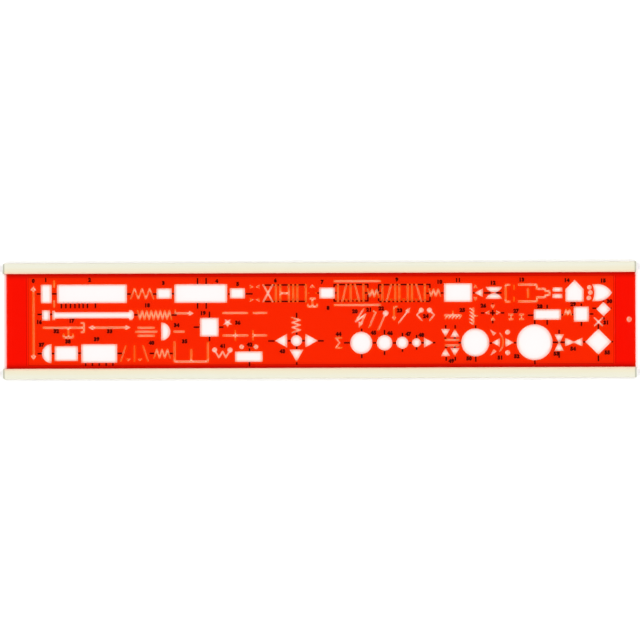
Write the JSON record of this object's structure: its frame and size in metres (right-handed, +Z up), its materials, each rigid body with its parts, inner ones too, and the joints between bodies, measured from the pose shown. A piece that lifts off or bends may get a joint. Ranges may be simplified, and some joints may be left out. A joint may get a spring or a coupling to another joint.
{
  "type": "symbol drawing template",
  "caption": "Flat see-through drawing template with cut-out circuit symbols, held off the paper by slotted rails along its long edges.",
  "frame": {"origin": "on the paper that the rails stand on, under the middle of the template", "axes": "+X along the rails, towards the hanging hole; +Y across the sheet, towards the upper rail; +Z up from the paper"},
  "size_m": [0.3, 0.055, 0.0026],
  "materials": {
    "sheet_plastic": "see-through orange-red sheet, polished on both faces",
    "rail_plastic": "ivory extruded strip, satin"
  },
  "bodies": {
    "root": {"template_sheet": "sheet_plastic", "upper_rail": "rail_plastic", "lower_rail": "rail_plastic"}
  },
  "joints": []
}
